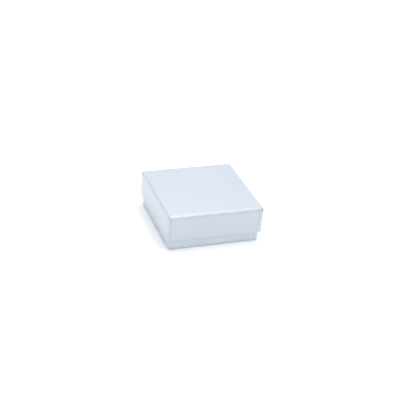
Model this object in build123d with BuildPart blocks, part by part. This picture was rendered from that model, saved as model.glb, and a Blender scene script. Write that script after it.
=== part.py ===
"""Two-piece rigid gift box for jewellery: a lift-off lid that telescopes over a tray, with a slit velvet pad inside.

Lid and tray are made alike. A scored and corner-cut greyboard blank is folded up, each upright corner is bound
with a strip of stay tape, and one sheet of pearl paper is wrapped over the outside and turned in over the rim.
Units are millimetres. +Z is up, the front is -Y, and the origin is the middle of the underside.
"""

import os

from build123d import *

# Driving dimensions of the closed box
BOX_WIDTH = 90.0  # outside of the lid, along X
BOX_DEPTH = 90.0  # outside of the lid, along Y
BOX_HEIGHT = 35.0
LID_DEPTH = 25.0  # from the top face to the lid's lower edge

# Sheet materials
BOARD = 1.5  # greyboard of both shells
PAPER = 0.15  # pearl wrapping paper
LINER = 0.15  # paper glued inside the lid's top
STAY = 0.1  # stay tape, pressed flush into the board
CARD = 1.0  # stiffener under the pad
VELVET = 0.7  # pad cover

# Forming
EDGE_RADIUS = 1.8  # outside of the paper, at folds and upright corners
SLIP = 0.5  # air between lid and tray, on each side
LID_TURN_IN = 22.0  # paper folded over the rim and glued inside
TRAY_TURN_IN = 20.0
STAY_LEG = 11.0  # reach of a stay along each wall
CORNER_CUT = 0.1  # saw kerf between neighbouring walls of a blank

# Pad
PAD_SLIP = 0.2  # air between pad and tray wall, on each side
FOAM = 18.0
FOAM_RADIUS = 2.0
HEM = 10.0  # velvet turned under the card
SLIT_WIDTH = 0.6
SLIT_DEPTH = 12.0
RING_SLIT = 26.0
EARRING_SLIT = 5.0
CHAIN_SLIT = 11.0
EARRING_X, EARRING_Y = 13.0, 17.0
CHAIN_X, CHAIN_Y = 30.0, 30.0

# Levels and widths that follow
LID_LOW = BOX_HEIGHT - LID_DEPTH
LID_BOARD_TOP = BOX_HEIGHT - PAPER
LID_CEILING = LID_BOARD_TOP - BOARD
LINER_LOW = LID_CEILING - LINER
LID_INSIDE = BOX_WIDTH - 2 * (2 * PAPER + BOARD)

TRAY_HEIGHT = LINER_LOW  # the lid's liner rests on the tray's rim
TRAY_WIDTH = LID_INSIDE - 2 * SLIP
TRAY_DEPTH = TRAY_WIDTH + BOX_DEPTH - BOX_WIDTH
TRAY_BOARD_TOP = TRAY_HEIGHT - PAPER
TRAY_FLOOR = PAPER + BOARD

PAD_WIDTH = TRAY_WIDTH - 2 * (2 * PAPER + BOARD) - 2 * PAD_SLIP
PAD_DEPTH = PAD_WIDTH + BOX_DEPTH - BOX_WIDTH
CARD_LOW = TRAY_FLOOR + VELVET
FOAM_LOW = CARD_LOW + CARD
FOAM_TOP = FOAM_LOW + FOAM
PAD_TOP = FOAM_TOP + VELVET

CORNERS = {
    "front_left": (-1, -1),
    "front_right": (1, -1),
    "back_left": (-1, 1),
    "back_right": (1, 1),
}

# Each slit in the pad: x, y, length, angle
SLITS = [
    (0, 0, RING_SLIT, 0),
    (-EARRING_X, EARRING_Y, EARRING_SLIT, 90),
    (EARRING_X, EARRING_Y, EARRING_SLIT, 90),
    (-CHAIN_X, CHAIN_Y, CHAIN_SLIT, 45),
    (CHAIN_X, CHAIN_Y, CHAIN_SLIT, -45),
    (-CHAIN_X, -CHAIN_Y, CHAIN_SLIT, -45),
    (CHAIN_X, -CHAIN_Y, CHAIN_SLIT, 45),
]


def block(width, depth, low, high, radius, closed_end):
    """A solid block with rounded upright edges, rounded also round its closed end, "top" or "bottom"."""
    with BuildPart() as body:
        with BuildSketch(Plane.XY.offset(low)):
            Rectangle(width, depth)
        extrude(amount=high - low)
        levels = body.edges().filter_by(Axis.Z, reverse=True).group_by(Axis.Z)
        closed = levels[-1] if closed_end == "top" else levels[0]
        fillet(body.edges().filter_by(Axis.Z) + closed, radius=radius)
    return body.part


def corner_stay(width, depth, low, high, radius, side_x, side_y):
    """An L of stay tape round one upright corner of a board shell, its outside flush with the board's."""
    with BuildPart() as stay:
        with BuildSketch(Plane.XY.offset(low)):
            RectangleRounded(width, depth, radius)
            RectangleRounded(width - 2 * STAY, depth - 2 * STAY, radius - STAY, mode=Mode.SUBTRACT)
            with Locations((side_x * (width - STAY_LEG) / 2, side_y * (depth - STAY_LEG) / 2)):
                Rectangle(STAY_LEG, STAY_LEG, mode=Mode.INTERSECT)
        extrude(amount=high - low)
    return stay.part


def board_shell(outside, width, depth, low, high, stays):
    """A folded blank: the outside block, hollowed to the board's thickness, with its corner cuts and stay seats.

    The hollow runs from low to high, and takes in the open rim. The front and back walls run the full width, and
    the side walls butt against them, parted by the corner cuts.
    """
    inside_width = width - 2 * BOARD
    inside_depth = depth - 2 * BOARD
    with BuildPart() as shell:
        add(outside)
        with BuildSketch(Plane.XY.offset(low)):
            Rectangle(inside_width, inside_depth)
            with GridLocations(inside_width + BOARD, inside_depth - CORNER_CUT, 2, 2):
                Rectangle(BOARD, CORNER_CUT)
        extrude(amount=high - low, mode=Mode.SUBTRACT)
        for stay in stays:
            add(stay, mode=Mode.SUBTRACT)
    return shell.part


def paper_wrap(outside, board_outside, width, depth, rim, turn_in):
    """A wrapped sheet: the skin between the two blocks, open at the rim, and the band turned in over the rim.

    turn_in is the band's height measured from the rim, positive upwards, and the rim is the paper's outer face.
    """
    inside_width = width - 2 * (PAPER + BOARD)
    inside_depth = depth - 2 * (PAPER + BOARD)
    with BuildPart() as wrap:
        add(outside)
        add(board_outside, mode=Mode.SUBTRACT)
        with BuildSketch(Plane.XY.offset(rim)):
            Rectangle(inside_width - 2 * PAPER, inside_depth - 2 * PAPER)
        extrude(amount=PAPER if turn_in > 0 else -PAPER, mode=Mode.SUBTRACT)
        with BuildSketch(Plane.XY.offset(rim)):
            Rectangle(inside_width, inside_depth)
            Rectangle(inside_width - 2 * PAPER, inside_depth - 2 * PAPER, mode=Mode.SUBTRACT)
        extrude(amount=turn_in)
    return wrap.part


def pad_slits():
    """The knife cuts in the pad's top, as thin upright slugs."""
    with BuildPart() as slugs:
        with BuildSketch(Plane.XY.offset(PAD_TOP - SLIT_DEPTH)):
            for x, y, length, angle in SLITS:
                with Locations((x, y)):
                    SlotOverall(length, SLIT_WIDTH, rotation=angle)
        extrude(amount=SLIT_DEPTH)
    return slugs.part


def save(solid, name):
    """Writes one finished piece as its own STEP file."""
    solid.label = name
    export_step(solid, f"parts/{name}.step")


os.makedirs("parts", exist_ok=True)
board_radius = EDGE_RADIUS - PAPER

# Lid
board_width = BOX_WIDTH - 2 * PAPER
board_depth = BOX_DEPTH - 2 * PAPER
board_low = LID_LOW + PAPER
lid_outside = block(BOX_WIDTH, BOX_DEPTH, LID_LOW, BOX_HEIGHT, EDGE_RADIUS, "top")
lid_board_outside = block(board_width, board_depth, board_low, LID_BOARD_TOP, board_radius, "top")
stay_high = LID_BOARD_TOP - board_radius  # stays end where the fold begins
lid_stays = {
    corner: corner_stay(board_width, board_depth, board_low, stay_high, board_radius, *sides)
    for corner, sides in CORNERS.items()
}
lid_board = board_shell(
    lid_board_outside, board_width, board_depth, board_low, LID_CEILING, lid_stays.values()
)
lid_wrap = paper_wrap(lid_outside, lid_board_outside, BOX_WIDTH, BOX_DEPTH, LID_LOW, LID_TURN_IN)

with BuildPart() as lid_liner:
    with BuildSketch(Plane.XY.offset(LINER_LOW)):
        Rectangle(LID_INSIDE, LID_INSIDE + BOX_DEPTH - BOX_WIDTH)
    extrude(amount=LINER)

save(lid_board, "lid_board")
save(lid_wrap, "lid_wrap")
save(lid_liner.part, "lid_liner")
for corner, stay in lid_stays.items():
    save(stay, f"lid_stay_{corner}")

# Tray
board_width = TRAY_WIDTH - 2 * PAPER
board_depth = TRAY_DEPTH - 2 * PAPER
tray_outside = block(TRAY_WIDTH, TRAY_DEPTH, 0, TRAY_HEIGHT, EDGE_RADIUS, "bottom")
tray_board_outside = block(board_width, board_depth, PAPER, TRAY_BOARD_TOP, board_radius, "bottom")
stay_low = PAPER + board_radius
tray_stays = {
    corner: corner_stay(board_width, board_depth, stay_low, TRAY_BOARD_TOP, board_radius, *sides)
    for corner, sides in CORNERS.items()
}
tray_board = board_shell(
    tray_board_outside, board_width, board_depth, TRAY_FLOOR, TRAY_BOARD_TOP, tray_stays.values()
)
tray_wrap = paper_wrap(
    tray_outside, tray_board_outside, TRAY_WIDTH, TRAY_DEPTH, TRAY_HEIGHT, -TRAY_TURN_IN
)

save(tray_board, "tray_board")
save(tray_wrap, "tray_wrap")
for corner, stay in tray_stays.items():
    save(stay, f"tray_stay_{corner}")

# Pad
core_width = PAD_WIDTH - 2 * VELVET
core_depth = PAD_DEPTH - 2 * VELVET
cover_outside = block(PAD_WIDTH, PAD_DEPTH, TRAY_FLOOR, PAD_TOP, FOAM_RADIUS + VELVET, "top")
pad_core = block(core_width, core_depth, CARD_LOW, FOAM_TOP, FOAM_RADIUS, "top")
slits = pad_slits()

with BuildPart() as pad_card:
    with BuildSketch(Plane.XY.offset(CARD_LOW)):
        RectangleRounded(core_width, core_depth, FOAM_RADIUS)
    extrude(amount=CARD)

with BuildPart() as pad_foam:
    add(pad_core)
    add(pad_card.part, mode=Mode.SUBTRACT)
    add(slits, mode=Mode.SUBTRACT)

with BuildPart() as pad_cover:
    add(cover_outside)
    add(pad_core, mode=Mode.SUBTRACT)
    add(slits, mode=Mode.SUBTRACT)
    with BuildSketch(Plane.XY.offset(TRAY_FLOOR)):
        Rectangle(PAD_WIDTH - 2 * HEM, PAD_DEPTH - 2 * HEM)
    extrude(amount=VELVET, mode=Mode.SUBTRACT)

save(pad_card.part, "pad_card")
save(pad_foam.part, "pad_foam")
save(pad_cover.part, "pad_cover")
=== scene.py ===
"""Looks of a two-piece jewellery gift box: a pearl paper lid, a pearl paper tray and a slit velvet pad."""

import math

import bmesh
import bpy
import numpy as np
from mathutils import Matrix, Vector


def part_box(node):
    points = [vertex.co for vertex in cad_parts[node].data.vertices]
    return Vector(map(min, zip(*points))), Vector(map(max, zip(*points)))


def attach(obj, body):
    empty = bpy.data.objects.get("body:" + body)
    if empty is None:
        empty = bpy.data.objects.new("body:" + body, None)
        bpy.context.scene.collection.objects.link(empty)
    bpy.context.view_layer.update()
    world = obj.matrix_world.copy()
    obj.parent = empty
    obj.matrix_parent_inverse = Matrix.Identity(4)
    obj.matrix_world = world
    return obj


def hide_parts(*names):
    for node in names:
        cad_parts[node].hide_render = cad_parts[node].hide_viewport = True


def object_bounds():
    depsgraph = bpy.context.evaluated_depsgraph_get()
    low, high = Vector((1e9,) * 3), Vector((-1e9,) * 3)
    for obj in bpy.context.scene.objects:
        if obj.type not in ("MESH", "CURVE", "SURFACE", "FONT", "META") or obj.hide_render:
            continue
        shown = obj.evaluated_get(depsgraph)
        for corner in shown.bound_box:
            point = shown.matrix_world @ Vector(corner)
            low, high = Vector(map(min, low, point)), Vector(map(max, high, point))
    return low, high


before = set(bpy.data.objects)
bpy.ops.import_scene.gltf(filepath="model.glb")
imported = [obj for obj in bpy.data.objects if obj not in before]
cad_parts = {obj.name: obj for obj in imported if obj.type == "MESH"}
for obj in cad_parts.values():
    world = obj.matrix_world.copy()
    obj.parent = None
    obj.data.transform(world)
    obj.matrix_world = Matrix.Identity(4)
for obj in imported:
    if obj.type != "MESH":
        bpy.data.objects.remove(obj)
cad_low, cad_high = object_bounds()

# Camera: a short telephoto lens at ten box widths, above and to the left of the front wall, held a little
# out of level. It aims just above the box, which stands a little low in its view.
mm = 0.001
lens, sensor = 83.7, 36.0
azimuth, elevation, roll = (math.radians(angle) for angle in (-21.2, 29.28, 5.1))
distance = 871 * mm
aim_left, aim_up = -0.07 * mm, 5.0 * mm

backwards = Vector((
    math.sin(azimuth) * math.cos(elevation), -math.cos(azimuth) * math.cos(elevation), math.sin(elevation),
))
level_right = Vector((math.cos(azimuth), math.sin(azimuth), 0))
level_up = backwards.cross(level_right)
right = level_right * math.cos(roll) + level_up * math.sin(roll)
up = level_up * math.cos(roll) - level_right * math.sin(roll)

camera = bpy.data.objects.new("camera", bpy.data.cameras.new("camera"))
bpy.context.scene.collection.objects.link(camera)
camera.data.lens, camera.data.sensor_width = lens, sensor
camera.data.clip_start, camera.data.clip_end = 10 * mm, 40
camera.matrix_world = Matrix((right, up, backwards)).transposed().to_4x4()
camera.location = (cad_low + cad_high) / 2 + backwards * distance - right * aim_left + up * aim_up
bpy.context.scene.camera = camera


# Studio: a white sweep in a white tent that is dimmer low down, but for a pale haze where it meets the
# sweep, and two large soft boxes overhead, whose reflections run along the front top fold.
def linear(colour):
    """An sRGB hex colour such as "#D0D7E6" as linear red, green, blue and alpha."""
    shares = np.array([int(colour[i:i + 2], 16) for i in (1, 3, 5)]) / 255
    values = np.where(shares <= 0.04045, shares / 12.92, ((shares + 0.055) / 1.055) ** 2.4)
    return (*(float(value) for value in values), 1.0)


def add_node(owner, kind, settings=None, links=None):
    """Adds a node to a material or world.

    settings gives sockets by name or number and other values by attribute, and links gives for an input
    socket the (node, output socket) that feeds it.
    """
    node = owner.node_tree.nodes.new(kind)
    for name, value in (settings or {}).items():
        if isinstance(name, int) or name in node.inputs:
            node.inputs[name].default_value = value
        else:
            setattr(node, name, value)
    for name, (source, output) in (links or {}).items():
        owner.node_tree.links.new(source.outputs[output], node.inputs[name])
    return node


def bare_material(name):
    """An empty node material."""
    material = bpy.data.materials.new(name)
    material.use_nodes = True
    material.node_tree.nodes.clear()
    return material


world = bpy.data.worlds.new("studio")
bpy.context.scene.world = world
world.use_nodes = True
world.node_tree.nodes.clear()
low_light, tent_light, tent_height = 0.45, 0.69, 0.45
haze_light, haze_height = 0.45, 0.14
way = add_node(world, "ShaderNodeTexCoord")
height = add_node(world, "ShaderNodeSeparateXYZ", links={"Vector": (way, "Generated")})
brightness = add_node(world, "ShaderNodeMapRange", {
    "interpolation_type": "SMOOTHSTEP", "From Max": tent_height, "To Min": low_light, "To Max": tent_light,
}, {"Value": (height, "Z")})
haze = add_node(world, "ShaderNodeMapRange", {
    "interpolation_type": "SMOOTHSTEP", "From Max": haze_height, "To Min": haze_light, "To Max": 0.0,
}, {"Value": (height, "Z")})
strength = add_node(world, "ShaderNodeMath", {"operation": "ADD"}, {
    0: (brightness, "Result"), 1: (haze, "Result"),
})
tent = add_node(world, "ShaderNodeBackground", {"Color": linear("#F1F7FF")}, {
    "Strength": (strength, "Value"),
})
add_node(world, "ShaderNodeOutputWorld", links={"Surface": (tent, "Background")})

sweep_size = 24.0
bpy.ops.mesh.primitive_plane_add(size=sweep_size)
sweep = bpy.context.object
sweep.name = "sweep"
# Matte white paper that glows a little, and more with distance, so that it fades into the tent
sweep_paper = bare_material("white_sweep")
near_glow, far_glow, near_reach, far_reach = 0.03, 0.38, 0.3, 1.4
place = add_node(sweep_paper, "ShaderNodeTexCoord")
away = add_node(sweep_paper, "ShaderNodeVectorMath", {"operation": "LENGTH"}, {0: (place, "Object")})
glow = add_node(sweep_paper, "ShaderNodeMapRange", {
    "interpolation_type": "SMOOTHSTEP", "From Min": near_reach, "From Max": far_reach,
    "To Min": near_glow, "To Max": far_glow,
}, {"Value": (away, "Value")})
sweep_coat = add_node(sweep_paper, "ShaderNodeBsdfPrincipled", {
    "Base Color": linear("#FAFBFB"), "Roughness": 0.9, "Specular IOR Level": 0.0,
    "Emission Color": linear("#FFFFFF"),
}, {"Emission Strength": (glow, "Result")})
add_node(sweep_paper, "ShaderNodeOutputMaterial", links={"Surface": (sweep_coat, "BSDF")})
sweep.data.materials.append(sweep_paper)

for name, width, length, energy, place, tilt in (
    ("soft_box", 0.5, 2.75, 9.2, (0.3, -0.05, 1.1), 15),
    ("fill_box", 0.5, 1.8, 4.7, (-0.25, -0.05, 1.0), -14),
):
    lamp = bpy.data.objects.new(name, bpy.data.lights.new(name, "AREA"))
    bpy.context.scene.collection.objects.link(lamp)
    lamp.data.shape, lamp.data.size, lamp.data.size_y = "RECTANGLE", width, length
    lamp.data.energy = energy
    lamp.location = place
    lamp.rotation_euler = (0, math.radians(tilt), 0)

bpy.context.scene.view_settings.view_transform = "Standard"


# Board shells: the lid's and the tray's, folded up from scored and corner-cut greyboard. It is made of
# recycled fibre, and stays bare inside wherever no paper is glued over it: the tray's floor and the foot of
# its walls.
def speckled_board(name, colour, dark_fibre, pale_fibre):
    """Uncoated recycled board: matte, a little cloudy and rough, with darker and paler fibre clumps.

    Clumps are really about 0.3 mm across, and are drawn somewhat coarser so that they show.
    """
    clump, cloud, grain = 0.6 * mm, 9 * mm, 0.35 * mm
    material = bare_material(name)
    place = add_node(material, "ShaderNodeTexCoord")
    on_piece = {"Vector": (place, "Object")}
    clouds = add_node(material, "ShaderNodeTexNoise", {"Scale": 1 / cloud, "Detail": 3.0}, on_piece)
    clumps = add_node(material, "ShaderNodeTexNoise", {"Scale": 1 / clump, "Detail": 2.0}, on_piece)
    fibres = add_node(material, "ShaderNodeTexNoise", {"Scale": 1 / grain, "Detail": 4.0}, on_piece)
    cloudy = add_node(material, "ShaderNodeMapRange", {"To Min": 0.9, "To Max": 1.1}, {
        "Value": (clouds, "Fac"),
    })
    base = add_node(material, "ShaderNodeHueSaturation", {"Color": linear(colour)}, {
        "Value": (cloudy, "Result"),
    })
    darkness = add_node(material, "ShaderNodeMapRange", {
        "From Min": 0.42, "From Max": 0.3, "To Max": 0.55,
    }, {"Value": (clumps, "Fac")})
    paleness = add_node(material, "ShaderNodeMapRange", {
        "From Min": 0.6, "From Max": 0.72, "To Max": 0.5,
    }, {"Value": (clumps, "Fac")})
    darker = add_node(material, "ShaderNodeMix", {"data_type": "RGBA", 7: linear(dark_fibre)}, {
        0: (darkness, "Result"), 6: (base, "Color"),
    })
    paler = add_node(material, "ShaderNodeMix", {"data_type": "RGBA", 7: linear(pale_fibre)}, {
        0: (paleness, "Result"), 6: (darker, 2),
    })
    relief = add_node(material, "ShaderNodeBump", {"Distance": 0.03 * mm}, {"Height": (fibres, "Fac")})
    board = add_node(material, "ShaderNodeBsdfPrincipled", {"Roughness": 0.88, "Specular IOR Level": 0.3}, {
        "Base Color": (paler, 2), "Normal": (relief, "Normal"),
    })
    add_node(material, "ShaderNodeOutputMaterial", links={"Surface": (board, "BSDF")})
    return material


def coat_node(node, material):
    """Gives a CAD node this one material."""
    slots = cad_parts[node].data.materials
    slots.clear()
    slots.append(material)


greyboard = speckled_board("recycled_greyboard", "#9C968C", "#6B655C", "#C3BEB4")
coat_node("lid_board", greyboard)
coat_node("tray_board", greyboard)


# Corner stays: strips of gummed kraft tape. One is pressed round each upright corner of both shells, to
# hold the folded walls together.
def kraft_tape():
    """Gummed kraft paper: matte brown with long fibres that run along the strip, up the corner."""
    fibre_width, fibre_length, cloud = 0.3 * mm, 5 * mm, 6 * mm
    material = bare_material("gummed_kraft_tape")
    place = add_node(material, "ShaderNodeTexCoord")
    on_piece = {"Vector": (place, "Object")}
    stretch = add_node(material, "ShaderNodeMapping", {
        "Scale": (1 / fibre_width, 1 / fibre_width, 1 / fibre_length),
    }, on_piece)
    fibres = add_node(material, "ShaderNodeTexNoise", {"Scale": 1.0, "Detail": 3.0}, {
        "Vector": (stretch, "Vector"),
    })
    clouds = add_node(material, "ShaderNodeTexNoise", {"Scale": 1 / cloud}, on_piece)
    both = add_node(material, "ShaderNodeMath", {"operation": "ADD"}, {
        0: (fibres, "Fac"), 1: (clouds, "Fac"),
    })
    tone = add_node(material, "ShaderNodeMapRange", {"From Min": 0.6, "From Max": 1.4}, {
        "Value": (both, "Value"),
    })
    colour = add_node(material, "ShaderNodeMix", {
        "data_type": "RGBA", 6: linear("#A37E55"), 7: linear("#C6A47A"),
    }, {0: (tone, "Result")})
    relief = add_node(material, "ShaderNodeBump", {"Distance": 0.015 * mm}, {"Height": (fibres, "Fac")})
    tape = add_node(material, "ShaderNodeBsdfPrincipled", {"Roughness": 0.7, "Specular IOR Level": 0.4}, {
        "Base Color": (colour, 2), "Normal": (relief, "Normal"),
    })
    add_node(material, "ShaderNodeOutputMaterial", links={"Surface": (tape, "BSDF")})
    return material


kraft = kraft_tape()
for shell in ("lid", "tray"):
    for corner in ("front_left", "front_right", "back_left", "back_right"):
        coat_node(f"{shell}_stay_{corner}", kraft)


# Lid liner: a square of plain white paper. It is glued up inside the lid over the board and the ends of the
# turn-in.
def plain_white(name, light_colour, dark_colour, roughness, relief_depth):
    """White uncoated stock: matte and nearly even, with soft clouds where fibres lie thicker.

    Its tooth is really about 0.1 mm, and is drawn coarse enough to show.
    """
    tooth, cloud = 0.5 * mm, 7 * mm
    material = bare_material(name)
    place = add_node(material, "ShaderNodeTexCoord")
    on_piece = {"Vector": (place, "Object")}
    clouds = add_node(material, "ShaderNodeTexNoise", {"Scale": 1 / cloud, "Detail": 4.0}, on_piece)
    fibres = add_node(material, "ShaderNodeTexNoise", {"Scale": 1 / tooth, "Detail": 4.0}, on_piece)
    tone = add_node(material, "ShaderNodeMapRange", {"From Min": 0.35, "From Max": 0.65}, {
        "Value": (clouds, "Fac"),
    })
    colour = add_node(material, "ShaderNodeMix", {
        "data_type": "RGBA", 6: linear(light_colour), 7: linear(dark_colour),
    }, {0: (tone, "Result")})
    relief = add_node(material, "ShaderNodeBump", {"Distance": relief_depth * mm}, {
        "Height": (fibres, "Fac"),
    })
    stock = add_node(material, "ShaderNodeBsdfPrincipled", {
        "Roughness": roughness, "Specular IOR Level": 0.35,
    }, {"Base Color": (colour, 2), "Normal": (relief, "Normal")})
    add_node(material, "ShaderNodeOutputMaterial", links={"Surface": (stock, "BSDF")})
    return material


white_liner = plain_white("white_liner_paper", "#E9EAEB", "#E5E6E8", roughness=0.75, relief_depth=0.008)
coat_node("lid_liner", white_liner)


# Lid wrap: one sheet of pearl paper, glued over the board shell. The side panels' tabs go round the upright
# corners, and the front and back panels are folded down over them, so each of these has a cut edge close to
# the corner. The sheet's margin is turned in over the board's lower edge.
paper, board = 0.15, 1.5
wall = board + 2 * paper
fold_radius, rim_radius, inner_corner = 1.8, 0.4, 0.25
lid_low, lid_high = (np.array(corner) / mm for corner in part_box("lid_wrap"))
lid_turn_in = 22.0

# Columns of the grid round each corner and along each side, and its rows round the fold, down the wall,
# round each edge of the rim, across the rim and up inside
arc_columns, straight_columns = 5, 60
fold_rows, wall_rows, edge_rows, rim_rows, inside_rows = 9, 16, 5, 4, 12
# The two cut edges' distances from a corner, the width of their step and of the shading beside it, and how
# far the tab reaches under them before it fades out
left_cut, right_cut, cut_width, seam_width, tab_reach, tab_fade = 2.06, 4.2, 0.03, 0.25, 9.0, 2.0
# How the glued paper differs from a plain box: its panel bulges, it is pinched at the corners, and it is a
# little slack all over, so it starts slightly inside the CAD's outside. Its colour is darkened by painted
# shade at the pinched corners and in a band just below each fold, and paled on the folds, partly for rubbed
# wear and partly as a painted highlight
dome_reach = 1.8
overlap_start = 0.3 * fold_radius
pinch_size, pinch_lift, pinch_inset, pinch_drop = 1.5, 0.1, 0.4, 1.5
# Painted shade in a band just below each fold: its darkness, its depth below the panel and its width
below_fold_shade, below_fold_shade_drop, below_fold_shade_width = 0.13, 2.1, 1.3
# Paling on the folds and upright corners, partly rubbed wear and partly a painted highlight: its strength,
# its share at the corners, and its patchiness
rubbing, corner_rubbing, rub_mean, rub_swing, rub_waves = 0.12, 0.3, 0.5, 0.9, (4, 7, 11, 19)
slack_height, slack_waves, sunk = 0.01, (17, 23, 31, 43), 0.05


def smooth_step(value, start, end):
    """0 before start, 1 after end, and a smooth S curve between them."""
    share = np.clip((value - start) / (end - start), 0, 1)
    return share * share * (3 - 2 * share)


def paper_profile(height, turn_in):
    """The wrap's section: from the panel's edge over the fold, down the wall, round the rim and up inside.

    Each column is the inset from the wall's outside, the drop from the panel, the corner's radius, and the
    shares of the surface's direction that point out of the wall and to the panel's side. The fold is a
    quarter circle, the rim is a quarter circle each side of a flat, and the walls are straight.
    """
    fold = np.radians(np.linspace(0, 90, fold_rows))
    turn = np.radians(np.linspace(0, 90, edge_rows))
    down = np.linspace(fold_radius, height - rim_radius, wall_rows)[1:-1]
    inside = height - np.linspace(rim_radius, turn_in, inside_rows)[1:]
    flat = np.linspace(rim_radius, wall - rim_radius, rim_rows)[1:-1]
    stretches = [
        (fold_radius * (1 - np.sin(fold)), fold_radius * (1 - np.cos(fold)), np.sin(fold), np.cos(fold)),
        (0 * down, down, 1 + 0 * down, 0 * down),
        (
            rim_radius * (1 - np.cos(turn)), height - rim_radius * (1 - np.sin(turn)),
            np.cos(turn), -np.sin(turn),
        ),
        (flat, height + 0 * flat, 0 * flat, -1 + 0 * flat),
        (
            wall - rim_radius * (1 - np.sin(turn)), height - rim_radius * (1 - np.cos(turn)),
            -np.sin(turn), -np.cos(turn),
        ),
        (wall + 0 * inside, inside, -1 + 0 * inside, 0 * inside),
    ]
    inset, drop, outwards, panelwards = (np.concatenate(column) for column in zip(*stretches))
    radius = np.where(inset <= fold_radius, fold_radius - inset, inner_corner)
    return inset, drop, radius, outwards, panelwards


def folded_sheet(half_width, half_depth, profile, panel_height, direction, slide):
    """A sheet folded along the four sides of a flat panel.

    It gives points, surface directions, places along a side, and faces. Each place in the profile makes a
    ring: a rectangle with quarter circles for corners, its straights divided as slide says, from -1 to 1.
    The first ring's corners are points, and the panel is a plain grid inside it. direction is -1 where the
    walls hang from the panel and 1 where they stand on it.
    """
    inset, drop, radius, outwards, panelwards = (row[:, None, None] for row in profile)
    panel_way = np.array([0, 0, -direction])
    turn = np.radians(np.linspace(0, 45, arc_columns + 1)[1:])
    bend = np.concatenate([turn - turn[-1] - turn[0], 0 * slide, turn])[:, None]
    along = np.concatenate([-1 + 0 * turn, slide, 1 + 0 * turn])[:, None]
    points, ways = [], []
    for quarter, (across, reach) in enumerate([(half_depth, half_width), (half_width, half_depth)] * 2):
        angle = math.radians(90 * quarter)
        out = np.array([math.sin(angle), -math.cos(angle), 0])
        side = np.array([math.cos(angle), math.sin(angle), 0])
        way = out * np.cos(bend) + side * np.sin(bend)
        core = out * (across - inset - radius) + side * along * (reach - inset - radius)
        points.append(core + radius * way - panel_way * drop)
        ways.append(way * outwards + panel_way * panelwards)
    rings, ring_ways = np.concatenate(points, axis=1), np.concatenate(ways, axis=1)
    edge = profile[0][0]
    x, y = np.meshgrid(slide * (half_width - edge), slide * (half_depth - edge), indexing="ij")
    panel = np.stack([x, y, 0 * x], axis=-1)
    ring_numbers = np.arange(rings[..., 0].size).reshape(rings.shape[:2])
    panel_numbers = ring_numbers.size + np.arange(x.size).reshape(x.shape)
    around = np.concatenate([ring_numbers, ring_numbers[:, :1]], axis=1)
    faces = np.concatenate([quads(around), quads(panel_numbers)])[:, ::-direction]
    points = np.concatenate([rings.reshape(-1, 3), panel.reshape(-1, 3)]) + [0, 0, panel_height]
    ways = np.concatenate([ring_ways.reshape(-1, 3), np.tile(panel_way, (x.size, 1))])
    along = np.concatenate([np.tile(np.tile(along[:, 0], 4), len(inset)), np.ones(x.size)])
    return points, ways, along, faces


def quads(numbers):
    """The four-sided faces between neighbouring rows and columns of a grid of vertex numbers."""
    corners = [numbers[:-1, :-1], numbers[1:, :-1], numbers[1:, 1:], numbers[:-1, 1:]]
    return np.stack(corners, axis=-1).reshape(-1, 4)


def new_piece(name, points, faces, materials, **marks):
    """A mesh object from points in millimetres and their faces, with points in the same place made one.

    Each mark is an attribute of the points.
    """
    mesh = bpy.data.meshes.new(name)
    mesh.from_pydata((points * mm).tolist(), [], faces.tolist())
    for mark, values in marks.items():
        mesh.attributes.new(mark, "FLOAT", "POINT").data.foreach_set("value", values.astype(np.float32))
    for material in materials:
        mesh.materials.append(material)
    welded = bmesh.new()
    welded.from_mesh(mesh)
    bmesh.ops.remove_doubles(welded, verts=welded.verts, dist=0.001 * mm)
    welded.to_mesh(mesh)
    welded.free()
    mesh.polygons.foreach_set("use_smooth", np.ones(len(mesh.polygons), bool))
    piece = bpy.data.objects.new(name, mesh)
    bpy.context.scene.collection.objects.link(piece)
    return piece


def ripple(points, wavelengths, seed):
    """A gentle uneven wave between -1 and 1: the mean of sine waves in seeded directions and phases."""
    random = np.random.default_rng(seed)
    total = np.zeros(len(points))
    for wavelength in wavelengths:
        way = random.normal(size=3)
        way /= np.linalg.norm(way)
        total += np.sin(points @ way * 2 * math.pi / wavelength + random.uniform(0, 2 * math.pi))
    return total / len(wavelengths)


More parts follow.
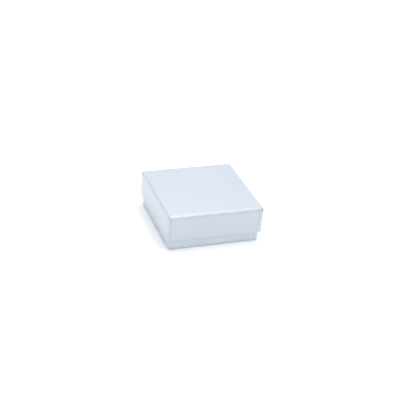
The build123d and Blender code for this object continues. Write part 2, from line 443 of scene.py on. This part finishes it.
def pearl_paper(name, colour, worn_and_highlight_colour, seam_colour, crease_shade_colour):
    """Mica-coated offset paper: cool pale grey and slightly cloudy, with a satin pearl gloss.

    Its flakes are a faint sparkle and its fibres a faint tooth. It is paler on the folds, partly rubbed
    wear and partly a painted highlight. It is darker along a cut edge that overlaps, as painted shade of
    the paper's step there, and grey where a corner is pinched and in a band just below each fold, as
    painted shade. Flakes are really some 0.05 mm across and fibres 0.02 mm, so both are drawn coarse enough
    to show.
    """
    flake, tooth, cloud = 0.7 * mm, 0.9 * mm, 22 * mm
    material = bare_material(name)
    place = add_node(material, "ShaderNodeTexCoord")
    on_piece = {"Vector": (place, "Object")}
    rub, seam, pinch = (
        add_node(material, "ShaderNodeAttribute", {"attribute_name": mark})
        for mark in ("rub", "seam", "pinch")
    )
    clouds = add_node(material, "ShaderNodeTexNoise", {"Scale": 1 / cloud, "Detail": 3.0}, on_piece)
    flakes = add_node(material, "ShaderNodeTexVoronoi", {"Scale": 1 / flake}, on_piece)
    fibres = add_node(material, "ShaderNodeTexNoise", {"Scale": 1 / tooth, "Detail": 4.0}, on_piece)
    shimmer = add_node(material, "ShaderNodeMapRange", {"To Min": -0.012, "To Max": 0.012}, {
        "Value": (flakes, "Color"),
    })
    cloudy = add_node(material, "ShaderNodeMapRange", {
        "From Min": 0.3, "From Max": 0.7, "To Min": 0.985, "To Max": 1.015,
    }, {"Value": (clouds, "Fac")})
    value = add_node(material, "ShaderNodeMath", {"operation": "ADD"}, {
        0: (cloudy, "Result"), 1: (shimmer, "Result"),
    })
    shaded = add_node(material, "ShaderNodeHueSaturation", {"Color": linear(colour)}, {
        "Value": (value, "Value"),
    })
    # Paler on the folds: partly rubbed wear, partly a painted highlight
    rubbed = add_node(material, "ShaderNodeMix", {"data_type": "RGBA", 7: linear(worn_and_highlight_colour)}, {
        0: (rub, "Fac"), 6: (shaded, "Color"),
    })
    # Darker along an overlapping cut edge: painted shade of the paper's step there
    seam_shaded = add_node(material, "ShaderNodeMix", {"data_type": "RGBA", 7: linear(seam_colour)}, {
        0: (seam, "Fac"), 6: (rubbed, 2),
    })
    # Grey where a corner is pinched and in a band just below each fold: painted shade
    crease_shaded = add_node(material, "ShaderNodeMix", {"data_type": "RGBA", 7: linear(crease_shade_colour)}, {
        0: (pinch, "Fac"), 6: (seam_shaded, 2),
    })
    gloss = add_node(material, "ShaderNodeMapRange", {"To Min": 0.34, "To Max": 0.46}, {
        "Value": (flakes, "Color"),
    })
    relief = add_node(material, "ShaderNodeBump", {"Distance": 0.006 * mm}, {"Height": (fibres, "Fac")})
    coat = add_node(material, "ShaderNodeBsdfPrincipled", {
        "IOR": 1.65, "Coat Weight": 0.85, "Coat Roughness": 0.2, "Coat IOR": 1.5,
    }, {"Base Color": (crease_shaded, 2), "Roughness": (gloss, "Result"), "Normal": (relief, "Normal")})
    add_node(material, "ShaderNodeOutputMaterial", links={"Surface": (coat, "BSDF")})
    return material


# The lid paper's colours: its own, a paler one for the folds (partly wear, partly painted highlight), and
# two greys painted as shade
lid_pearl = pearl_paper("pearl_paper_lid", "#C6CBD5", "#DADEE4", "#929AA7", "#6F7783")

# Uncoated paper core: matte white, shown only along the sheet's cut edge
paper_core = bare_material("paper_core")
core = add_node(paper_core, "ShaderNodeBsdfPrincipled", {
    "Base Color": linear("#EEEEEA"), "Roughness": 0.9,
})
add_node(paper_core, "ShaderNodeOutputMaterial", links={"Surface": (core, "BSDF")})


def wrap_shell(name, paper_material, low, high, panel_height, direction, turn_in, dome, pinches, seed):
    """A pearl paper wrap over the shell whose outside runs from low to high.

    It is a folded sheet, moved outwards by small smooth steps and waves and given the paper's thickness.
    dome is how far the panel's middle stands out beyond its folds: dome * (1 - exp(-inset / dome_reach)).
    pinches gives for each corner of the panel how hard the paper is pinched together there, and so how
    much painted shade darkens it there, with the signs of the corner's x and y, and it dies away as
    exp(-(distance / pinch_size) ** 2).
    """
    half_width, half_depth, height = (high[0] - low[0]) / 2, (high[1] - low[1]) / 2, high[2] - low[2]
    cosine = -np.cos(np.linspace(0, math.pi, straight_columns + 1))
    straight = half_width - fold_radius
    beside = np.array([-seam_width, 0, cut_width, cut_width + seam_width])
    beside_cuts = 1 - (np.concatenate([left_cut + beside, right_cut + beside]) - fold_radius) / straight
    slide = np.unique(np.concatenate([cosine, beside_cuts, -beside_cuts]).round(9))
    profile = paper_profile(height, turn_in)
    points, ways, along, faces = folded_sheet(
        half_width, half_depth, profile, panel_height, direction, slide,
    )
    drop = np.abs(points[:, 2] - panel_height)
    on_overlap = (np.abs(ways[:, 1]) > np.abs(ways[:, 0])) & (np.abs(along) < 1)
    cut = np.where(along < 0, left_cut, right_cut)
    from_corner = half_width - np.abs(along) * straight
    raised = smooth_step(from_corner, cut, cut + cut_width)
    raised = raised - smooth_step(from_corner, tab_reach, tab_reach + tab_fade)
    overlap = on_overlap * raised * smooth_step(drop, overlap_start, fold_radius)
    inside = half_width - fold_radius - np.abs(points[:, :2]).max(axis=1)
    points[:, 2] -= direction * dome * (1 - np.exp(-np.maximum(inside, 0) / dome_reach)) * (drop == 0)
    # Each corner's pinch lifts the paper there and darkens it with painted shade
    pinch = np.zeros(len(points))
    for strength, side_x, side_y in pinches:
        tip = (
            side_x * (half_width - pinch_inset), side_y * (half_depth - pinch_inset),
            panel_height + direction * pinch_drop,
        )
        pinch += strength * np.exp(-(np.linalg.norm(points - tip, axis=1) / pinch_size) ** 2)
    # A band on the walls just below each fold, darkened as painted shade
    outermost = np.abs(points[:, :2]).max(axis=1) > half_width - fold_radius
    below_fold_shading = below_fold_shade * outermost * np.exp(-((drop - below_fold_shade_drop) / below_fold_shade_width) ** 2)
    slack = slack_height * ripple(points, slack_waves, seed)
    points = points + ways * (paper * overlap + slack + pinch_lift * pinch - sunk)[:, None]
    # The overlapping cut edge, darkened as painted shade of the paper's step
    beside_cut = np.abs(from_corner - cut - cut_width / 2) < cut_width
    level = np.hypot(ways[:, 0], ways[:, 1])
    # How far each point is bent round a fold or an upright corner, where the colour is paled, partly as
    # rubbed wear and partly as a painted highlight
    bent = 2 * np.maximum(level * np.abs(ways[:, 2]), corner_rubbing * np.abs(ways[:, 0] * ways[:, 1]))
    patchy = np.clip(rub_mean + rub_swing * ripple(points, rub_waves, seed + 1), 0, 1)
    piece = new_piece(
        name, points, faces, [paper_material, paper_core],
        rub=rubbing * bent * patchy,
        seam=on_overlap * beside_cut * 1.0,
        pinch=np.clip(pinch + below_fold_shading, 0, 1),
    )
    sheet = piece.modifiers.new("thickness", "SOLIDIFY")
    sheet.thickness, sheet.offset, sheet.material_offset_rim = paper * mm, -1, 1
    return piece


lid_paper = wrap_shell(
    "lid_paper", lid_pearl, lid_low, lid_high, lid_high[2], -1, lid_turn_in, dome=0.15,
    pinches=((1.0, 1, -1), (0.7, -1, 1), (0.15, -1, -1), (0.4, 1, 1)), seed=3,
)
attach(lid_paper, "lid")
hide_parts("lid_wrap")


# Tray wrap: one sheet of the same paper, glued over the tray's shell and under its floor, and turned in
# over the rim. Its colours are a little greyer than the lid's, and paler as painted light, which lifts the
# band of tray that stands in the lid's shade.
tray_low, tray_high = (np.array(corner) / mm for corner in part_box("tray_wrap"))
tray_turn_in = 20.0
# Greyer than the lid's colours, and paler as painted light
tray_pearl_greyer_painted_paler = pearl_paper("pearl_paper_tray_painted_paler", "#CFD4DB", "#DADEE4", "#AAB1BB", "#787F8B")
tray_paper = wrap_shell(
    "tray_paper", tray_pearl_greyer_painted_paler, tray_low, tray_high, tray_low[2], 1, tray_turn_in, dome=-0.04,
    pinches=((0.4, 1, -1), (0.3, -1, 1), (0.4, -1, -1), (0.3, 1, 1)), seed=5,
)
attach(tray_paper, "tray")
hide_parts("tray_wrap")


# Pad card: a square of white card. It lies under the foam inside the pad, stiffens its underside and
# carries the hem.
white_card = plain_white("white_card", "#E7E6E2", "#DBDAD5", roughness=0.8, relief_depth=0.02)
coat_node("pad_card", white_card)


# Pad: a block of soft foam on the card, wrapped in off-white velvet that is glued over the foam, folded
# round its corners and turned under the card. The finished pad is cut from above: a long slit for a ring,
# two short ones for earrings, and a slanting one at each corner for a chain.
velvet, hem, foam_gap, card_gap = 0.68, 10.0, 0.05, 0.01
shoulder, foot = 2.7, 0.5
pad_low, pad_high = (np.array(corner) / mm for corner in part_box("pad_cover"))
card_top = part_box("pad_card")[1][2] / mm
half_width, half_depth = (pad_high[:2] - pad_low[:2]) / 2

# Columns of the grid along each side and near each corner, and its rows down the side, round the shoulder
# and the foot and along the hem
pad_columns, pad_rows = 36, 12
corner_columns = (0.6, 1.2, 1.9, 2.7, 3.6)
shoulder_rows, foot_rows, hem_rows = 7, 4, 6
# The stuffing: the sheet's moves, the cloth's pressure and mass, and how high above the card glue holds it
swell_limit, swell_steps, swell_pressure, cloth_mass, glued_height = 1.8, 20, 1.5, 0.005, 1.0
# The walls that hold the pad's sides, and the velvet's uneven give against them
wall_side, wall_give, give_waves = 40.72, 0.06, (9, 13, 19)
# The dip beside each slit, in the uppermost part of the pad
valley_depth, valley_width, dip_from, dip_full = 0.9, 1.7, 3, 1
pleat_depth, pleat_width, pleat_foot, pleat_head, pleat_fade = 0.4, 0.55, 3.4, 0.4, 0.15

# Each slit: x, y, length and angle
slit_width, slit_depth = 0.6, 12.0
slits = (
    (0, 0, 26, 0), (-13, 17, 5, 90), (13, 17, 5, 90),
    (-30, 30, 11, 45), (30, 30, 11, -45), (-30, -30, 11, -45), (30, -30, 11, 45),
)
# The knife's lips: height above the velvet beside the slit, and half the cut's width there. That height is
# the mean within slit_side of the slit
lips = ((3, 0), (3, 1.9), (0.45, 0.8), (0, 0.52), (-0.5, 0.34), (-1.2, slit_width / 2))
slit_side = 0.9


def pad_profile(height):
    """The pad's section: from the top's edge over the shoulder, down the side, round the foot and in.

    It has the columns of paper_profile, quarter circles at the shoulder and the foot, and straights between
    them and along the hem.
    """
    over = np.radians(np.linspace(0, 90, shoulder_rows))
    under = np.radians(np.linspace(0, 90, foot_rows))
    down = np.linspace(shoulder, height - foot, pad_rows)[1:-1]
    inwards = np.linspace(foot, hem, hem_rows)[1:]
    stretches = [
        (shoulder * (1 - np.sin(over)), shoulder * (1 - np.cos(over)), np.sin(over), np.cos(over)),
        (0 * down, down, 1 + 0 * down, 0 * down),
        (foot * (1 - np.cos(under)), height - foot * (1 - np.sin(under)), np.cos(under), -np.sin(under)),
        (inwards, height + 0 * inwards, 0 * inwards, -1 + 0 * inwards),
    ]
    inset, drop, outwards, panelwards = (np.concatenate(column) for column in zip(*stretches))
    return inset, drop, np.maximum(shoulder - inset, 0), outwards, panelwards


def points_of(piece):
    """A mesh's points as an array, in millimetres."""
    values = np.empty(3 * len(piece.data.vertices), np.float32)
    piece.data.vertices.foreach_get("co", values)
    return values.reshape(-1, 3).astype(float) / mm


def move_points(piece, points):
    """Puts a mesh's points at these places in millimetres."""
    piece.data.vertices.foreach_set("co", (points * mm).astype(np.float32).ravel())
    piece.data.update()


def apply_modifiers(piece):
    """Makes what the modifiers show the piece's own mesh."""
    shown = piece.evaluated_get(bpy.context.evaluated_depsgraph_get())
    shape = bpy.data.meshes.new_from_object(shown)
    piece.modifiers.clear()
    piece.data = shape


def swell(piece, held, limit):
    """Blows a closed piece up gently as cloth, with the held points kept still.

    Moves are drawn in smoothly so that none goes beyond the limit: limit * (1 - exp(-move / limit)).
    """
    before = points_of(piece)
    group = piece.vertex_groups.new(name="held")
    group.add(np.flatnonzero(held).tolist(), 1.0, "REPLACE")
    cloth = piece.modifiers.new("swell", "CLOTH")
    cloth.settings.quality = 5
    cloth.settings.mass = cloth_mass
    cloth.settings.use_pressure, cloth.settings.uniform_pressure_force = True, swell_pressure
    cloth.settings.effector_weights.gravity = 0.0
    cloth.settings.vertex_group_mass = group.name
    cloth.point_cache.frame_start, cloth.point_cache.frame_end = 1, swell_steps
    for step in range(1, swell_steps + 1):
        bpy.context.scene.frame_set(step)
    apply_modifiers(piece)
    bpy.context.scene.frame_set(1)
    piece.vertex_groups.clear()
    moved = points_of(piece) - before
    reach = np.maximum(np.linalg.norm(moved, axis=1, keepdims=True), 1e-6)
    move_points(piece, before + moved / reach * limit * (1 - np.exp(-reach / limit)))


def from_slit(points, slit):
    """How far points are, seen from above, from the middle line of a slit."""
    x, y, length, angle = slit
    way = np.array([math.cos(math.radians(angle)), math.sin(math.radians(angle))])
    off = points[:, :2] - [x, y]
    along = np.clip(off @ way, slit_width / 2 - length / 2, length / 2 - slit_width / 2)
    return np.linalg.norm(off - along[:, None] * way, axis=1)


straight = half_width - shoulder
slide = np.linspace(-1, 1, pad_columns + 1)[1:-1]
near_corner = 1 - np.array((0, *corner_columns)) / straight
slide = np.unique(np.concatenate([slide[np.abs(slide) < near_corner.min()], near_corner, -near_corner]))
points, ways, along, faces = folded_sheet(
    half_width, half_depth, pad_profile(pad_high[2] - pad_low[2]), pad_high[2], -1, slide,
)
x, y = np.meshgrid(slide * (half_width - hem), slide * (half_depth - hem), indexing="ij")
underside = np.stack([x, y, 0 * x + pad_low[2]], axis=-1).reshape(-1, 3)
under_faces = quads(len(points) + np.arange(x.size).reshape(x.shape))[:, ::-1]
pad_form = new_piece(
    "pad_form", np.concatenate([points, underside]), np.concatenate([faces, under_faces]), [],
)
swell(pad_form, points_of(pad_form)[:, 2] < card_top + glued_height, swell_limit)
smoother = pad_form.modifiers.new("smoother", "SUBSURF")
smoother.levels = smoother.render_levels = 1
apply_modifiers(pad_form)

# The walls hold the sides in, each slit draws the velvet down beside it, and at the corners the front and
# back lie over the sides in a slanting pleat.
points = points_of(pad_form)
give = wall_give * (1 + ripple(points, give_waves, seed=8))
points[:, :2] = np.clip(points[:, :2], -wall_side + give[:, None], wall_side - give[:, None])
upper = smooth_step(points[:, 2], pad_high[2] - dip_from, pad_high[2] - dip_full)
for slit in slits:
    points[:, 2] -= upper * valley_depth * np.exp(-(from_slit(points, slit) / valley_width) ** 2)
rise = np.clip((points[:, 2] - card_top) / (pad_high[2] - shoulder - card_top), 0, 1)
pleat = half_width - shoulder - pleat_foot - (pleat_head - pleat_foot) * rise
on_side = (np.abs(points[:, 1]) > half_depth - 0.5 * shoulder) & (points[:, 2] > pad_low[2] + foot)
groove = pleat_depth * on_side * smooth_step(1 - rise, 0, pleat_fade) * np.exp(
    -((np.abs(points[:, 0]) - pleat) / pleat_width) ** 2
)
points[:, 1] -= np.sign(points[:, 1]) * groove
move_points(pad_form, points)


def slit_blades(surface):
    """The knife's cuts as closed solids, one for each slit, widening at the surface so the lips are round.

    Each is a stack of stadium outlines, and its first and last are drawn in to the slit's middle line.
    """
    half = slit_width / 2
    bottom = pad_high[2] - slit_depth
    outline = np.radians(np.linspace(-90, 90, 7))
    points, faces = [], []
    for position, slit in enumerate(slits):
        x, y, length, angle = slit
        height = surface[from_slit(surface, slit) < slit_side][:, 2].mean()
        levels = np.array([
            *((height + above, half_cut) for above, half_cut in lips), (bottom, half), (bottom, 0),
        ])[:, :, None]
        ends = np.concatenate([outline, outline + math.pi])
        core = np.repeat([length / 2 - half, half - length / 2], len(outline))
        across, beside = core + levels[:, 1] * np.cos(ends), levels[:, 1] * np.sin(ends)
        cosine, sine = math.cos(math.radians(angle)), math.sin(math.radians(angle))
        rings = np.stack([
            x + across * cosine - beside * sine,
            y + across * sine + beside * cosine,
            levels[:, 0] + 0 * across,
        ], axis=-1)
        numbers = (position * across.size + np.arange(across.size)).reshape(across.shape)
        points.append(rings.reshape(-1, 3))
        faces.append(quads(np.concatenate([numbers, numbers[:, :1]], axis=1)))
    return new_piece("slit_blades", np.concatenate(points), np.concatenate(faces), [])


blades = slit_blades(points[points[:, 2] > pad_high[2] - dip_from])


def cut_slits(piece):
    """Cuts the slits out of a piece, and keeps its folds and cut edges crisp."""
    cut = piece.modifiers.new("slits", "BOOLEAN")
    cut.object, cut.operation, cut.solver = blades, "DIFFERENCE", "EXACT"
    apply_modifiers(piece)
    piece.data.set_sharp_from_angle(angle=math.radians(50))


# The foam is the same form shrunk by the velvet, and cut off flat just above the card.
foam_block = bpy.data.objects.new("pad_foam_block", pad_form.data.copy())
bpy.context.scene.collection.objects.link(foam_block)
outwards = np.empty(points.size, np.float32)
pad_form.data.vertex_normals.foreach_get("vector", outwards)
move_points(foam_block, points - (velvet + foam_gap) * outwards.reshape(-1, 3))
foam_shape = bmesh.new()
foam_shape.from_mesh(foam_block.data)
bmesh.ops.bisect_plane(
    foam_shape, geom=foam_shape.verts[:] + foam_shape.edges[:] + foam_shape.faces[:],
    plane_co=(0, 0, (card_top + card_gap) * mm), plane_no=(0, 0, 1), clear_inner=True,
)
bmesh.ops.edgeloop_fill(foam_shape, edges=[edge for edge in foam_shape.edges if edge.is_boundary])
foam_shape.to_mesh(foam_block.data)
foam_shape.free()
cut_slits(foam_block)


def open_cell_foam():
    """Soft polyurethane foam: off-white, dead matte, all over small open cells.

    Cells are really about 0.3 mm across, and are drawn twice as large so that they show. Each is darker
    towards its middle, where its relief is lowest, as painted shade in its hollow.
    """
    cell = 0.6 * mm
    material = bare_material("open_cell_foam")
    place = add_node(material, "ShaderNodeTexCoord")
    on_piece = {"Vector": (place, "Object")}
    cells = add_node(material, "ShaderNodeTexVoronoi", {"Scale": 1 / cell}, on_piece)
    # Darker towards each cell's middle, where the relief is lowest: painted shade in the cell's hollow
    colour = add_node(material, "ShaderNodeMix", {
        "data_type": "RGBA", 6: linear("#A9A79F"), 7: linear("#E2E0D8"),
    }, {0: (cells, "Distance")})
    relief = add_node(material, "ShaderNodeBump", {"Distance": 0.15 * mm}, {"Height": (cells, "Distance")})
    foam = add_node(material, "ShaderNodeBsdfPrincipled", {"Roughness": 1.0, "Specular IOR Level": 0.1}, {
        "Base Color": (colour, 2), "Normal": (relief, "Normal"),
    })
    add_node(material, "ShaderNodeOutputMaterial", links={"Surface": (foam, "BSDF")})
    return material


foam_block.data.materials.append(open_cell_foam())
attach(foam_block, "pad")
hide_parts("pad_foam")


def cotton_velvet():
    """Short-pile velvet: off-white and without gloss, but paler where the pile is seen from the side.

    It has soft patches where it has been brushed one way or the other, and a fine grain of tufts. Tufts are
    really about 0.2 mm apart, and are drawn coarse enough to show.
    """
    tuft, brushed, streak = 0.5 * mm, 16 * mm, 9 * mm
    material = bare_material("cotton_velvet")
    place = add_node(material, "ShaderNodeTexCoord")
    on_piece = {"Vector": (place, "Object")}
    lie = add_node(material, "ShaderNodeMapping", {
        "Rotation": (0, 0, math.radians(12)), "Scale": (1 / brushed, 1 / streak, 1 / streak),
    }, on_piece)
    patches = add_node(material, "ShaderNodeTexNoise", {"Scale": 1.0, "Detail": 2.0}, {
        "Vector": (lie, "Vector"),
    })
    tufts = add_node(material, "ShaderNodeTexNoise", {"Scale": 1 / tuft, "Detail": 2.0}, on_piece)
    brush = add_node(material, "ShaderNodeMapRange", {
        "From Min": 0.35, "From Max": 0.65, "To Max": 0.45,
    }, {"Value": (patches, "Fac")})
    grain = add_node(material, "ShaderNodeMapRange", {
        "From Min": 0.3, "From Max": 0.7, "To Max": 0.5,
    }, {"Value": (tufts, "Fac")})
    shade = add_node(material, "ShaderNodeMath", {"operation": "ADD"}, {
        0: (brush, "Result"), 1: (grain, "Result"),
    })
    colour = add_node(material, "ShaderNodeMix", {
        "data_type": "RGBA", 6: linear("#D6D6D9"), 7: linear("#ECEBEC"),
    }, {0: (shade, "Value")})
    relief = add_node(material, "ShaderNodeBump", {"Distance": 0.12 * mm}, {"Height": (tufts, "Fac")})
    pile = add_node(material, "ShaderNodeBsdfPrincipled", {
        "Roughness": 1.0, "Specular IOR Level": 0.1, "Sheen Weight": 0.35, "Sheen Roughness": 0.4,
        "Sheen Tint": linear("#F4F4F6"),
    }, {"Base Color": (colour, 2), "Normal": (relief, "Normal")})
    add_node(material, "ShaderNodeOutputMaterial", links={"Surface": (pile, "BSDF")})
    return material


# The velvet is the form without its underside inside the hem, given the cloth's thickness.
pad_cover = pad_form
pad_cover.name = "pad_velvet_cover"
cover_shape = bmesh.new()
cover_shape.from_mesh(pad_cover.data)
middles = np.empty(3 * len(pad_cover.data.polygons), np.float32)
pad_cover.data.polygons.foreach_get("center", middles)
middles = middles.reshape(-1, 3) / mm
inside_hem = np.abs(middles[:, :2]).max(axis=1) < half_width - hem
uncovered = np.flatnonzero(inside_hem & (middles[:, 2] < pad_low[2] + 0.1))
cover_shape.faces.ensure_lookup_table()
bmesh.ops.delete(cover_shape, context="FACES", geom=[cover_shape.faces[number] for number in uncovered])
cover_shape.to_mesh(pad_cover.data)
cover_shape.free()
pad_cover.data.materials.append(cotton_velvet())
cloth_wall = pad_cover.modifiers.new("cloth", "SOLIDIFY")
cloth_wall.thickness, cloth_wall.offset, cloth_wall.use_even_offset = velvet * mm, -1, True
apply_modifiers(pad_cover)
cut_slits(pad_cover)
bpy.data.objects.remove(blades)
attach(pad_cover, "pad")
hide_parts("pad_cover")
